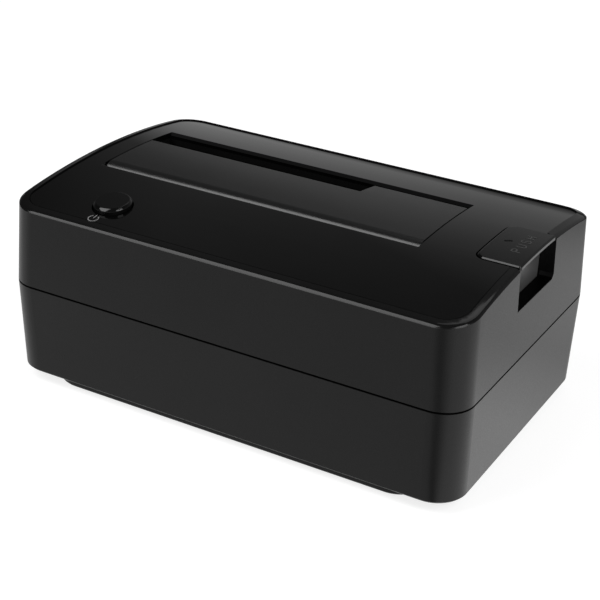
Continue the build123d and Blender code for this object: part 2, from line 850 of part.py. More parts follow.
# Lower housing: tapered shell with a lip inside the seam, screw towers, board standoffs and a spring post
standoff_right_y = case_depth / 2 - standoff_edge_gap
standoff_places = [(board_left + standoff_inset, side * standoff_left_y) for side in (-1, 1)]
standoff_places += [(board_right - standoff_inset, side * standoff_right_y) for side in (-1, 1)]
dc_z = board_top + dc_height / 2
with BuildPart() as lower_form:
    add(tapered_block(bottom_size, case_bottom, seam_size, lower_top))
    chamfer(lower_form.faces().sort_by(Axis.Z)[0].edges(), bottom_bevel)

with BuildPart() as lower_cavity:
    add(tapered_block(bottom_size, floor_top, seam_size, lower_top + overrun, case_wall))

with BuildPart() as lower_housing:
    add(lower_form.part)
    add(lower_cavity.part, mode=Mode.SUBTRACT)
    # Lip that enters the upper housing
    with BuildSketch(Plane.XY.offset(lower_top - lip_root)):
        RectangleRounded(*case_inset(*seam_size, case_wall - lip_bite))
        RectangleRounded(*case_inset(*seam_size, case_wall + lip_gap + lip_wall), mode=Mode.SUBTRACT)
    extrude(amount=lip_root)
    with BuildSketch(Plane.XY.offset(lower_top)):
        RectangleRounded(*case_inset(*seam_size, case_wall + lip_gap))
        RectangleRounded(*case_inset(*seam_size, case_wall + lip_gap + lip_wall), mode=Mode.SUBTRACT)
    extrude(amount=lip_height)
    # Screw towers, board standoffs and the finned post of the eject spring
    with BuildSketch(Plane.XY.offset(case_bottom)):
        with Locations(*case_screw_places):
            Circle(tower_radius)
    extrude(amount=tower_top - case_bottom)
    with BuildSketch(Plane.XY.offset(case_bottom)):
        with Locations(*standoff_places):
            Rectangle(standoff_size, standoff_size)
    extrude(amount=board_under - case_bottom)
    with BuildSketch(Plane.XY.offset(case_bottom)):
        with Locations((tab_spring_x, tab_spring_y)):
            Circle(tab_spring_post_radius)
    extrude(amount=tab_spring_seat - case_bottom)
    with BuildSketch(Plane.XY.offset(case_bottom)):
        with Locations((tab_spring_x, tab_spring_y)):
            Rectangle(2 * post_fin_reach, lip_wall)
            Rectangle(lip_wall, 2 * post_fin_reach)
    extrude(amount=post_fin_top - case_bottom)
    with BuildSketch(Plane.XY.offset(tab_spring_seat)):
        with Locations((tab_spring_x, tab_spring_y)):
            Circle(tab_spring_spigot_radius)
    extrude(amount=tab_spring_spigot_height)
    # Low ribs across the open part of the floor
    with BuildSketch(Plane.XY.offset(case_bottom)):
        for rib_index in range(floor_rib_count):
            with Locations((case_length / 2 - floor_rib_end_gap + rib_index * floor_rib_pitch, 0)):
                Rectangle(lip_wall, floor_rib_length)
    extrude(amount=floor_wall + floor_rib_height)
    # Holes for the case screws
    with BuildSketch(Plane.XY.offset(case_bottom)):
        with Locations(*case_screw_places):
            Circle(screw_radius + screw_hole_gap)
    extrude(amount=tower_top - case_bottom, mode=Mode.SUBTRACT)
    # Cut-outs for the sockets in the rear wall
    with BuildSketch(Plane.XZ.offset(-(case_depth / 2 + overrun))):
        with Locations((esata_x, board_top + esata_height / 2)):
            Rectangle(esata_length + 2 * port_gap, esata_height + 2 * port_gap)
        with Locations((usb_x, board_top + usb_height / 2)):
            Rectangle(usb_length + 2 * port_gap, usb_height + 2 * port_gap)
        with Locations((dc_x, dc_z)):
            Circle(dc_barrel_radius + port_gap)
    extrude(amount=case_wall + lower_draft_y + 2 * overrun, mode=Mode.SUBTRACT)

lower_housing.part.label = "lower_housing"
export_step(lower_housing.part, "parts/lower_housing.step")

# Base plate, set back under the lower housing, with recesses for the screw heads
foot_places = [(x, y) for x in (-foot_x, foot_x) for y in (-foot_y, foot_y)]
plate_length = case_length - 2 * plate_end_setback
with BuildPart() as base_plate:
    add(rounded_block(plate_length, bottom_depth - 2 * plate_setback, plate_corner, foot_stand, case_bottom))
    chamfer(base_plate.faces().sort_by(Axis.Z)[0].edges(), plate_edge)
    with BuildSketch(Plane.XY.offset(foot_stand)):
        with Locations(*case_screw_places):
            Circle(screw_head_radius + screw_hole_gap)
    extrude(amount=case_screw_seat - foot_stand, mode=Mode.SUBTRACT)
    with BuildSketch(Plane.XY.offset(foot_stand)):
        with Locations(*case_screw_places):
            Circle(screw_radius + screw_hole_gap)
    extrude(amount=case_bottom - foot_stand, mode=Mode.SUBTRACT)

base_plate.part.label = "base_plate"
export_step(base_plate.part, "parts/base_plate.step")

# Feet
with BuildPart() as rubber_feet:
    with BuildSketch():
        with Locations(*foot_places):
            Circle(foot_radius)
    extrude(amount=foot_stand)
    chamfer(rubber_feet.edges().group_by(Axis.Z)[0], foot_bevel)

rubber_feet.part.label = "rubber_feet"
export_step(rubber_feet.part, "parts/rubber_feet.step")

# Case screws, up from the base plate
with BuildPart() as case_screws:
    with BuildSketch(Plane.XY.offset(case_screw_seat)):
        with Locations(*case_screw_places):
            Circle(screw_head_radius)
    extrude(amount=-screw_head_height)
    with BuildSketch(Plane.XY.offset(case_screw_seat)):
        with Locations(*case_screw_places):
            Circle(screw_radius)
    extrude(amount=tower_top + screw_bite - case_screw_seat)
    with BuildSketch(Plane.XY.offset(case_screw_seat - screw_head_height)):
        with Locations(*case_screw_places):
            Rectangle(screw_recess_length, screw_recess_width)
            Rectangle(screw_recess_width, screw_recess_length)
    extrude(amount=screw_recess_depth, mode=Mode.SUBTRACT)

case_screws.part.label = "case_screws"
export_step(case_screws.part, "parts/case_screws.step")

# Main board
board_notch = tower_radius + board_notch_gap
with BuildPart() as main_board:
    with BuildSketch(Plane.XY.offset(board_under)):
        with Locations(((board_left + board_right) / 2, (board_front + board_rear) / 2)):
            RectangleRounded(board_right - board_left, board_rear - board_front, board_corner)
        with Locations(*[place for place in case_screw_places if place[0] < board_right]):
            Rectangle(2 * board_notch, 2 * board_notch, mode=Mode.SUBTRACT)
    extrude(amount=board_wall)

main_board.part.label = "main_board"
export_step(main_board.part, "parts/main_board.step")

# Drive connector: lower ends, two keyed slots and a row of contacts in each
slot_floor = sata_top - sata_slot_depth
with BuildPart() as sata_receptacle:
    with BuildSketch(Plane.XY.offset(board_top)):
        with Locations((sata_x, sata_y)):
            Rectangle(sata_length, sata_depth)
    extrude(amount=sata_height)
    with BuildSketch(Plane.XY.offset(sata_top - sata_ear_cut)):
        for side in (-1, 1):
            with Locations((sata_x + side * (sata_length - sata_ear_length) / 2, sata_y)):
                Rectangle(sata_ear_length, sata_depth)
    extrude(amount=sata_ear_cut, mode=Mode.SUBTRACT)
    with BuildSketch(Plane.XY.offset(slot_floor)):
        for slot_x, slot_length in ((sata_data_x, sata_data_length), (sata_power_x, sata_power_length)):
            with Locations((slot_x, sata_y)):
                Rectangle(slot_length, sata_slot_width)
            with Locations((slot_x - (slot_length - sata_key_wall) / 2, sata_y - sata_key_wall / 2)):
                Rectangle(sata_key_wall, sata_slot_width + sata_key_wall)
    extrude(amount=sata_slot_depth, mode=Mode.SUBTRACT)

sata_receptacle.part.label = "sata_receptacle"
export_step(sata_receptacle.part, "parts/sata_receptacle.step")

contact_y = sata_y + (sata_slot_width - sata_contact_wall) / 2
with BuildPart() as sata_contacts:
    with BuildSketch(Plane.XY.offset(slot_floor)):
        for slot_x, contacts in ((sata_data_x, sata_data_contacts), (sata_power_x, sata_power_contacts)):
            with Locations((slot_x, contact_y)):
                with GridLocations(sata_contact_pitch, 1, contacts, 1):
                    Rectangle(sata_contact_width, sata_contact_wall)
    extrude(amount=sata_slot_depth - sata_contact_width)

sata_contacts.part.label = "sata_contacts"
export_step(sata_contacts.part, "parts/sata_contacts.step")

# External drive socket: metal shell and an insulator with a keyed tongue
esata_z = board_top + esata_height / 2
esata_inner = (esata_length - 2 * socket_shell, esata_height - 2 * socket_shell)
esata_key_x = esata_x - (esata_tongue_length - esata_tongue_wall) / 2
with BuildPart() as esata_shell:
    with BuildSketch(Plane.XZ.offset(-port_mouth)):
        with Locations((esata_x, esata_z)):
            Rectangle(esata_length, esata_height)
            Rectangle(*esata_inner, mode=Mode.SUBTRACT)
    extrude(amount=esata_depth)

esata_shell.part.label = "esata_shell"
export_step(esata_shell.part, "parts/esata_shell.step")

with BuildPart() as esata_tongue:
    with BuildSketch(Plane.XZ.offset(esata_depth - socket_back - port_mouth)):
        with Locations((esata_x, esata_z)):
            Rectangle(*esata_inner)
    extrude(amount=socket_back)
    with BuildSketch(Plane.XZ.offset(tongue_setback - port_mouth)):
        with Locations((esata_x, esata_z)):
            Rectangle(esata_tongue_length, esata_tongue_wall)
        with Locations((esata_key_x, esata_z - esata_tongue_wall / 2)):
            Rectangle(esata_tongue_wall, 2 * esata_tongue_wall)
    extrude(amount=esata_depth - socket_back - tongue_setback)

esata_tongue.part.label = "esata_tongue"
export_step(esata_tongue.part, "parts/esata_tongue.step")


def usb_outline(inset):
    """Square socket outline with its two upper corners cut, drawn in by the inset."""
    half = usb_length / 2 - inset
    low = board_top + inset
    high = board_top + usb_height - inset
    with BuildLine() as outline:
        Polyline(
            (usb_x - half, low),
            (usb_x + half, low),
            (usb_x + half, high - usb_corner_cut),
            (usb_x + half - usb_corner_cut, high),
            (usb_x - half + usb_corner_cut, high),
            (usb_x - half, high - usb_corner_cut),
            close=True,
        )
    return outline.line


# Square data socket: metal shell and an insulator with a block tongue
with BuildPart() as usb_shell:
    with BuildSketch(Plane.XZ.offset(-port_mouth)):
        make_face(usb_outline(0))
        make_face(usb_outline(socket_shell), mode=Mode.SUBTRACT)
    extrude(amount=usb_depth)

usb_shell.part.label = "usb_shell"
export_step(usb_shell.part, "parts/usb_shell.step")

with BuildPart() as usb_tongue:
    with BuildSketch(Plane.XZ.offset(usb_depth - socket_back - port_mouth)):
        make_face(usb_outline(socket_shell))
    extrude(amount=socket_back)
    with BuildSketch(Plane.XZ.offset(tongue_setback - port_mouth)):
        with Locations((usb_x, board_top + usb_height / 2)):
            RectangleRounded(usb_tongue_length, usb_tongue_wall, tongue_corner)
    extrude(amount=usb_depth - socket_back - tongue_setback)

usb_tongue.part.label = "usb_tongue"
export_step(usb_tongue.part, "parts/usb_tongue.step")

# Power inlet: body with a round nose, bore and centre pin
with BuildPart() as dc_jack:
    with BuildSketch(Plane.XZ.offset(dc_barrel_length - port_mouth)):
        with Locations((dc_x, dc_z)):
            Rectangle(dc_length, dc_height)
    extrude(amount=dc_depth - dc_barrel_length)
    with BuildSketch(Plane.XZ.offset(-port_mouth)):
        with Locations((dc_x, dc_z)):
            Circle(dc_barrel_radius)
    extrude(amount=dc_barrel_length)
    with BuildSketch(Plane.XZ.offset(-port_mouth)):
        with Locations((dc_x, dc_z)):
            Circle(dc_bore_radius)
    extrude(amount=dc_bore_depth, mode=Mode.SUBTRACT)

dc_jack.part.label = "dc_jack"
export_step(dc_jack.part, "parts/dc_jack.step")

with BuildPart() as dc_jack_pin:
    with BuildSketch(Plane.XZ.offset(tongue_setback - port_mouth)):
        with Locations((dc_x, dc_z)):
            Circle(dc_pin_radius)
    extrude(amount=dc_bore_depth - tongue_setback)
    chamfer(dc_jack_pin.edges().sort_by(Axis.Y)[-1], dc_pin_radius * half_share)

dc_jack_pin.part.label = "dc_jack_pin"
export_step(dc_jack_pin.part, "parts/dc_jack_pin.step")

# Small parts on the board
with BuildPart() as bridge_chip:
    with BuildSketch(Plane.XY.offset(board_top)):
        with Locations((chip_x, chip_y)):
            Rectangle(chip_size, chip_size)
    extrude(amount=chip_height)
    chamfer(bridge_chip.faces().sort_by(Axis.Z)[-1].edges(), chip_chamfer)

bridge_chip.part.label = "bridge_chip"
export_step(bridge_chip.part, "parts/bridge_chip.step")

with BuildPart() as board_capacitors:
    with BuildSketch(Plane.XY.offset(board_top)):
        for index in range(capacitor_count):
            with Locations((capacitor_x + index * capacitor_pitch, capacitor_y)):
                Circle(capacitor_radius)
    extrude(amount=capacitor_height)
    chamfer(board_capacitors.edges().group_by(Axis.Z)[-1], capacitor_edge)

board_capacitors.part.label = "board_capacitors"
export_step(board_capacitors.part, "parts/board_capacitors.step")

with BuildPart() as power_coil:
    with BuildSketch(Plane.XY.offset(board_top)):
        with Locations((coil_x, coil_y)):
            RectangleRounded(coil_size, coil_size, coil_corner)
    extrude(amount=coil_height)
    with BuildSketch(Plane.XY.offset(board_top + coil_height - coil_cup_depth)):
        with Locations((coil_x, coil_y)):
            Circle(coil_cup_radius)
    extrude(amount=coil_cup_depth, mode=Mode.SUBTRACT)

power_coil.part.label = "power_coil"
export_step(power_coil.part, "parts/power_coil.step")

with BuildPart() as crystal:
    with BuildSketch(Plane.XY.offset(board_top)):
        with Locations((crystal_x, crystal_y)):
            SlotOverall(crystal_length, crystal_width)
    extrude(amount=crystal_flange)
    with BuildSketch(Plane.XY.offset(board_top + crystal_flange)):
        with Locations((crystal_x, crystal_y)):
            SlotOverall(crystal_length - 2 * crystal_flange, crystal_width - 2 * crystal_flange)
    extrude(amount=crystal_height - crystal_flange)

crystal.part.label = "crystal"
export_step(crystal.part, "parts/crystal.step")

# Power key: round cap in the guide tube, its top along the arch, with a flange and a stem to the switch
with BuildPart() as power_button:
    with BuildSketch(Plane.XY.offset(key_skirt_bottom)):
        with Locations((key_x, key_y)):
            Circle(key_radius)
    extrude(amount=crown_height + key_stand - key_skirt_bottom)
    add(arch_cylinder(arch_radius + key_stand), mode=Mode.INTERSECT)
    chamfer(power_button.faces().sort_by(Axis.Z)[-1].edges(), key_bevel)
    with BuildSketch(Plane.XY.offset(key_skirt_bottom)):
        with Locations((key_x, key_y)):
            Circle(key_radius + key_flange)
    extrude(amount=key_flange_wall)
    with BuildSketch(Plane.XY.offset(key_skirt_bottom)):
        with Locations((key_x, key_y)):
            Circle(key_radius - key_wall)
    extrude(amount=key_roof - key_skirt_bottom, mode=Mode.SUBTRACT)
    with BuildSketch(Plane.XY.offset(plunger_top)):
        with Locations((key_x, key_y)):
            Circle(key_stem_radius)
    extrude(amount=key_roof - plunger_top)

power_button.part.label = "power_button"
export_step(power_button.part, "parts/power_button.step")

with BuildPart() as power_switch:
    with BuildSketch(Plane.XY.offset(board_top)):
        with Locations((key_x, key_y)):
            RectangleRounded(switch_size, switch_size, switch_corner)
    extrude(amount=switch_height)
    with BuildSketch(Plane.XY.offset(switch_top - switch_hole_depth)):
        with Locations((key_x, key_y)):
            Circle(plunger_radius + plunger_gap)
    extrude(amount=switch_hole_depth, mode=Mode.SUBTRACT)

power_switch.part.label = "power_switch"
export_step(power_switch.part, "parts/power_switch.step")

with BuildPart() as switch_plunger:
    with BuildSketch(Plane.XY.offset(plunger_foot)):
        with Locations((key_x, key_y)):
            Circle(plunger_radius)
    extrude(amount=plunger_top - plunger_foot)

switch_plunger.part.label = "switch_plunger"
export_step(switch_plunger.part, "parts/switch_plunger.step")

# Eject key: lip plate along the arch, hollow skirt in the well, leg above the rocker's pad, two hooks
tab_under_radius = arch_radius + tab_stand - tab_lip_wall
with BuildPart() as eject_lip:
    with BuildSketch(Plane.XY.offset(well_bottom)) as lip_plan:
        with Locations(((tab_left + tab_right) / 2, tab_y)):
            Rectangle(tab_right - tab_left, tab_depth)
        fillet(lip_plan.vertices().group_by(Axis.X)[0], tab_corner)
        fillet(lip_plan.vertices().group_by(Axis.X)[-1], tab_side_corner)
    extrude(amount=crown_height + tab_stand + overrun - well_bottom)
    add(arch_cylinder(arch_radius + tab_stand), mode=Mode.INTERSECT)
    add(arch_cylinder(tab_under_radius), mode=Mode.SUBTRACT)
    chamfer(eject_lip.faces().sort_by(Axis.Z)[-1].edges(), tab_edge_bevel)

with BuildPart() as eject_skirt:
    with BuildSketch(Plane.XY.offset(tab_skirt_bottom)) as skirt_plan:
        with Locations(((tab_left + tab_skirt_right) / 2, tab_y)):
            Rectangle(tab_skirt_right - tab_left, tab_depth)
        fillet(skirt_plan.vertices().group_by(Axis.X)[0], tab_corner)
        with Locations(((tab_left + tab_skirt_right) / 2, tab_y)):
            Rectangle(
                tab_skirt_right - tab_left - 2 * tab_wall, tab_depth - 2 * tab_wall, mode=Mode.SUBTRACT
            )
    extrude(amount=crown_height - tab_skirt_bottom)
    with BuildSketch(Plane.XY.offset(leg_foot)):
        with Locations((leg_x, leg_y)):
            Rectangle(leg_thickness, leg_width)
    extrude(amount=crown_height - leg_foot)
    fillet(eject_skirt.edges().group_by(Axis.Z)[0].filter_by(Axis.Y), leg_thickness * nose_share)
    for side in (-1, 1):
        with BuildSketch(Plane.YZ.offset((tab_left + tab_skirt_right - tab_hook_width) / 2)):
            with BuildLine():
                Polyline(
                    (tab_y + side * tab_depth / 2, well_bottom - tab_hook_gap),
                    (tab_y + side * (tab_depth / 2 + tab_hook_reach), well_bottom - tab_hook_gap),
                    (tab_y + side * tab_depth / 2, well_bottom - tab_hook_gap - tab_hook_height),
                    close=True,
                )
            make_face()
        extrude(amount=tab_hook_width)
    add(arch_cylinder(tab_under_radius), mode=Mode.INTERSECT)

with BuildPart() as eject_button:
    add(eject_lip.part)
    add(eject_skirt.part)

eject_button.part.label = "eject_button"
export_step(eject_button.part, "parts/eject_button.step")

# Eject spring on its post, up to the underside of the lip
tab_spring_foot = tab_spring_seat + tab_spring_wire / 2 + tab_spring_gap
tab_spring_head = arch_height(tab_spring_y, tab_under_radius) - tab_spring_wire / 2 - tab_spring_gap
with BuildPart() as eject_spring:
    add(
        wound_wire(
            Plane(origin=(tab_spring_x, tab_spring_y, tab_spring_foot)),
            tab_spring_radius,
            (tab_spring_head - tab_spring_foot) * 4 / tab_spring_quarter_turns,
            tab_spring_quarter_turns,
            0,
            0,
            tab_spring_wire,
        )
    )

eject_spring.part.label = "eject_spring"
export_step(eject_spring.part, "parts/eject_spring.step")

# Rocker: the pad under the eject key's leg goes down, the toe goes up through the bay's floor
toe_top = bay_floor - rocker_toe_clearance
elbow_x = rocker_x + rocker_elbow_reach
pad_left = rocker_x + rocker_pad_start
pad_right = rocker_x + rocker_pad_end
arm_under = rocker_z - rocker_arm_wall / 2
arm_over = rocker_z + rocker_arm_wall / 2
pad_under = rocker_pad_height - rocker_arm_wall
pad_front = min(rocker_front, leg_y - leg_width / 2)
pad_rear = max(rocker_rear, leg_y + leg_width / 2)
with BuildPart() as eject_rocker:
    with BuildSketch(Plane.XZ.offset(-rocker_rear)):
        with BuildLine():
            Polyline(
                (rocker_toe_left, arm_under),
                (elbow_x, arm_under),
                (pad_left, pad_under),
                (pad_right, pad_under),
                (pad_right, rocker_pad_height),
                (pad_left, rocker_pad_height),
                (elbow_x, arm_over),
                (rocker_toe_left + rocker_toe_length + rocker_arm_wall, arm_over),
                (rocker_toe_left + rocker_toe_length, toe_top),
                (rocker_toe_left, toe_top),
                close=True,
            )
        make_face()
        with Locations((rocker_x, rocker_z)):
            Circle(rocker_hub_radius)
            Circle(pin_radius + pin_run_gap, mode=Mode.SUBTRACT)
    extrude(amount=rocker_width)
    with BuildSketch(Plane.XY.offset(pad_under)):
        with Locations(((pad_left + pad_right) / 2, (pad_front + pad_rear) / 2)):
            Rectangle(pad_right - pad_left, pad_rear - pad_front)
    extrude(amount=rocker_arm_wall)

eject_rocker.part.label = "eject_rocker"
export_step(eject_rocker.part, "parts/eject_rocker.step")

with BuildPart() as rocker_pin:
    with BuildSketch(Plane.XZ.offset(-(ear_rear + ear_wall))):
        with Locations((rocker_x, rocker_z)):
            Circle(pin_radius)
    extrude(amount=ear_rear + ear_wall - ear_front)

rocker_pin.part.label = "rocker_pin"
export_step(rocker_pin.part, "parts/rocker_pin.step")
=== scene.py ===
from math import cos, pi, radians, sin

import bmesh
import bpy
from mathutils import Matrix, Vector


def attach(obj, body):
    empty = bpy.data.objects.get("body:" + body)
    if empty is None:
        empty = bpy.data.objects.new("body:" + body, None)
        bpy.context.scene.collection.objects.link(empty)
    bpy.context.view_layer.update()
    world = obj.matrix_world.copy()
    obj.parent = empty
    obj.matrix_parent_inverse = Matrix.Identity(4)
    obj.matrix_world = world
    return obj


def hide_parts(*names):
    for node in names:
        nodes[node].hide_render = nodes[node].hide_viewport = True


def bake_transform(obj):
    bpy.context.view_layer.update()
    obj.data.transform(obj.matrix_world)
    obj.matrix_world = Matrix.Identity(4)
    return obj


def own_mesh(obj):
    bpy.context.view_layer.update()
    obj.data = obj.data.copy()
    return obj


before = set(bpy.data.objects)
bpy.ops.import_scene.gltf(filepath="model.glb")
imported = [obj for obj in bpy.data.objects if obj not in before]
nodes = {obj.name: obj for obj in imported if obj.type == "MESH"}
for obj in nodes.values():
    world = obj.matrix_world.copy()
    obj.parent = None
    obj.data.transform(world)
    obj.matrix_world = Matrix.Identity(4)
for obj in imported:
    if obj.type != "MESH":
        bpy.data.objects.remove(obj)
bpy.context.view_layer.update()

MM = 0.001

# Noise spends its time between these values
NOISE_LOW = 0.3
NOISE_HIGH = 0.7

# Slow drifts of colour and gloss over a moulding, and the waviness that polish leaves
MOTTLE = 20 * MM
POLISH_DRIFT = 30 * MM
POLISH_HAZE = 12 * MM
POLISH_WAVE = 6 * MM
POLISH_WAVE_HEIGHT = 0.0012 * MM
BRUSH_MARK = 0.4 * MM
BRUSH_HEIGHT = 0.004 * MM

# Board: solder mask, copper under it and bare pads
MASK_DARK = (0.012, 0.085, 0.035, 1.0)
MASK_LIGHT = (0.016, 0.105, 0.045, 1.0)
TRACK_COLOUR = (0.035, 0.17, 0.07, 1.0)
PAD_COLOUR = (0.62, 0.6, 0.5, 1.0)
TRACK_SCALE = 420.0
TRACK_WIDTH = 0.06
PAD_SCALE = 240.0
PAD_EDGE = (0.12, 0.16)
PAD_SHARE = 0.35
BOARD_GRAIN = 1.0 * MM
BOARD_ROUGHNESS = (0.22, 0.34)

# The top is a cylinder about an axis along X: the same sizes as in the solids
CROWN = 59.8 * MM
TOP_HALF_DEPTH = 46.15 * MM
ARCH_RISE = 4.3 * MM
ARCH_RADIUS = (ARCH_RISE**2 + TOP_HALF_DEPTH**2) / (2 * ARCH_RISE)

# Prints on the top: how far they stand off it, how thick they are, and the quads that carry a bar along the arch
PRINT_LIFT = 0.02 * MM
PRINT_WALL = 0.015 * MM
BAR_STEPS = 4

# Rim: where its shine fades down the chamfer, its round, and how its inner edge rises over the panel
RIM_FADE = 0.75 * MM
RIM_SHINE = 0.35 * MM
RIM_ROUGHNESS = 0.08
RIM_GRAIN = 0.15
RIM_ROUND = 0.9 * MM
RIM_STEPS = 4
RIM_LIP = 0.42 * MM
ON_ARCH = 0.02 * MM
LIP_START = -42.0 * MM
LIP_FULL = -36.0 * MM
LIP_BREAK = 13.0 * MM

# Rounds on the two keys
POWER_ROUND = 0.3 * MM
EJECT_ROUND = 0.2 * MM
KEY_STEPS = 3

# Edges to round: the height of a face's normal on a chamfer, a flat and an upright wall
CHAMFER_LIFTS = (0.4, 0.9)
FLAT_LIFT = 0.97
UPRIGHT_LIFT = 0.1
RIM_LEVEL = 50 * MM
KEY_LEVEL = 56 * MM

# Softened meshes: which points are one, which faces are level, and from where an edge is sharp
WELD = 0.001 * MM
LEVEL_ANGLE = radians(0.3)
SHARP_ANGLE = radians(27)

# Eject key's face inside the pocket, where a lighter grey is a painted reflection: outward of the first span and
# below the second
SKIRT_OUT = (66.6 * MM, 66.75 * MM)
SKIRT_TOP = (58.3 * MM, 58.7 * MM)
SKIRT_REFLECTION_GREY = 0.12
SKIRT_ROUGHNESS = 0.35

# Pocket round the eject key, darkened as painted shade: its sides as spans that the mask crosses, within the leaning
# outer wall
WALL_LEAN = 1.1 / 28.1
WALL_REACH = 73.24 * MM
WALL_EDGE = (WALL_REACH - 0.2 * MM, WALL_REACH - 0.1 * MM)
RISING = (0.0, 1.0)
FALLING = (1.0, 0.0)
POCKET_SIDES = (
    ("X", (60 * MM, 61 * MM), RISING),
    ("Y", (-12.4 * MM, -12.2 * MM), RISING),
    ("Y", (13.1 * MM, 13.3 * MM), FALLING),
    ("Z", (57.3 * MM, 57.5 * MM), FALLING),
    ("Z", (46.0 * MM, 46.5 * MM), RISING),
)
POCKET_SPECULAR = 0.03
POCKET_SHADE_GREY = 0.0015

# Power sign: centre, ring and bar
SIGN = (-43.7 * MM, -41.9 * MM)
SIGN_RADIUS = 1.45 * MM
SIGN_LINE = 0.34 * MM
SIGN_GAP = 0.62
SIGN_STEPS = 40
SIGN_BAR = (0.1 * MM, 1.75 * MM)

# Word on the eject key, with strokes as bars on a grid of 4 by 6 units, and a short dash beside it
LETTERS = {
    "P": [((0, 0), (0, 6)), ((0, 6), (3, 6)), ((3, 6), (4, 5)), ((4, 5), (4, 4)), ((4, 4), (3, 3)), ((3, 3), (0, 3))],
    "U": [((0, 6), (0, 1)), ((0, 1), (1, 0)), ((1, 0), (3, 0)), ((3, 0), (4, 1)), ((4, 1), (4, 6))],
    "S": [((4, 5), (3, 6)), ((3, 6), (1, 6)), ((1, 6), (0, 5)), ((0, 5), (0, 4)), ((0, 4), (1, 3)), ((1, 3), (3, 3)),
          ((3, 3), (4, 2)), ((4, 2), (4, 1)), ((4, 1), (3, 0)), ((3, 0), (1, 0)), ((1, 0), (0, 1))],
    "H": [((0, 0), (0, 6)), ((4, 0), (4, 6)), ((0, 3), (4, 3))],
}
WORD_START = (67.3 * MM, -4.0 * MM)
WORD_STEP = 3.45 * MM
WORD_UNIT = 0.43 * MM
WORD_LINE = 0.42 * MM
TAB_STAND = 0.5 * MM
DASH_ENDS = ((60.7 * MM, 1.2 * MM), (62.6 * MM, 2.4 * MM))
DASH_LINE = 0.8 * MM

# Camera: a pinhole fitted to the edges of the object in the photograph, with its distances in units of UNIT
UNIT = 0.962 * MM
AZIMUTH = radians(28.571)
ELEVATION = radians(26.175)
ROLL = radians(-2.5365)
FOCAL_PIXELS = 1483.09
IMAGE_PIXELS = 600.0
SENSOR = 36.0
DISTANCE = 453.94
AIM_HEIGHT = 30.0
AIM_RIGHT = -0.218
AIM_UP = -3.5327
BASE_LIFT = 1.0 * MM
CLIP_START = 10 * MM

# Floor: its own grey, its glow, and how much of the glow gloss sees in each heading round the case's right
# front corner, as (share of a turn, level), and over its depth, as (span, levels)
FLOOR_HALF = 3.0
FLOOR_GREY = 0.4
FLOOR_ROUGHNESS = 0.9
FLOOR_GLOW = 0.82
FLOOR_CORNER = (66 * MM, -44 * MM)
FLOOR_SECTORS = [
    (0.0, 0.49), (0.235, 0.49), (0.262, 0.04), (0.295, 0.04), (0.33, 0.35), (0.4, 1.0), (0.7, 1.0), (0.85, 0.49),
    (1.0, 0.49),
]
FLOOR_DEPTHS = (((0.01, 0.06), (1.3, 0.78)), ((0.14, 0.2), (1.0, 0.12)))

# Sky for all but the camera: brightness over the height, which stretches from left to right, and over the width
SKY_STRETCH = ((-0.55, -0.2), (0.6, 1.58))
SKY_RISE = [(0.0, 0.1), (0.045, 0.1), (0.09, 0.95), (0.25, 0.75), (0.5, 0.24), (0.75, 0.2), (1.0, 0.2)]
SKY_WIDTHS = (((-0.55, -0.33), (0.57, 0.34)), ((-0.61, -0.52), (0.33, 1.0)))

# Square soft lamps: place, size and power
LAMP_AIM = Vector((0.0, 0.0, 0.03))
LAMPS = {
    "key_lamp": ((-0.5, -0.55, 1.0), 0.7, 7.0),
    "fill_lamp": ((0.8, -0.3, 0.9), 0.6, 5.0),
    "rear_lamp": ((0.0, 0.6, 1.1), 0.7, 1.5),
}


def feed(tree, socket, value):
    """Links an input to a socket, or sets it to a value."""
    if isinstance(value, bpy.types.NodeSocket):
        tree.links.new(value, socket)
    else:
        socket.default_value = value


def add_node(tree, kind, **inputs):
    """New shader node with its named inputs fed."""
    node = tree.nodes.new(kind)
    for name, value in inputs.items():
        feed(tree, node.inputs[name.replace("_", " ")], value)
    return node


def calculate(tree, operation, *values):
    """Result of one sum on sockets or numbers."""
    node = tree.nodes.new("ShaderNodeMath")
    node.operation = operation
    for socket, value in zip(node.inputs, values):
        feed(tree, socket, value)
    return node.outputs[0]


def object_place(tree):
    """Place on the surface in the piece's own axes."""
    return tree.nodes.new("ShaderNodeTexCoord").outputs["Object"]


def axes(tree, vector):
    """The X, Y and Z outputs of a vector."""
    return add_node(tree, "ShaderNodeSeparateXYZ", Vector=vector).outputs


def grey(level):
    """Colour of one grey level, as linear light."""
    return (level, level, level, 1.0)


def greys(stops):
    """Ramp stops of grey from (position, level) pairs."""
    return [(position, grey(level)) for position, level in stops]


def noise(tree, place, size, detail, roughness=0.5):
    """Noise whose features are about this size in metres."""
    node = add_node(tree, "ShaderNodeTexNoise", Vector=place, Scale=1.0 / size, Detail=detail, Roughness=roughness)
    return node.outputs["Fac"]


def ramp(tree, factor, stops):
    """Colour ramp through (position, colour) stops."""
    node = add_node(tree, "ShaderNodeValToRGB", Fac=factor)
    elements = node.color_ramp.elements
    elements[0].position, elements[0].color = stops[0]
    elements[1].position, elements[1].color = stops[-1]
    for position, colour in stops[1:-1]:
        elements.new(position).color = colour
    return node.outputs["Color"]


def spread(tree, value, source, target):
    """Value carried from one span to another, held at its ends."""
    node = add_node(
        tree, "ShaderNodeMapRange", Value=value, From_Min=source[0], From_Max=source[1], To_Min=target[0],
        To_Max=target[1],
    )
    return node.outputs["Result"]


def levels(tree, factor, span):
    """Value that runs over the span as noise runs over the values where it spends its time."""
    return spread(tree, factor, (NOISE_LOW, NOISE_HIGH), span)


def start_material(name):
    """New node material, with its tree, its shader and the place on the surface."""
    material = bpy.data.materials.new(name)
    material.use_nodes = True
    tree = material.node_tree
    return material, tree, tree.nodes["Principled BSDF"], object_place(tree)


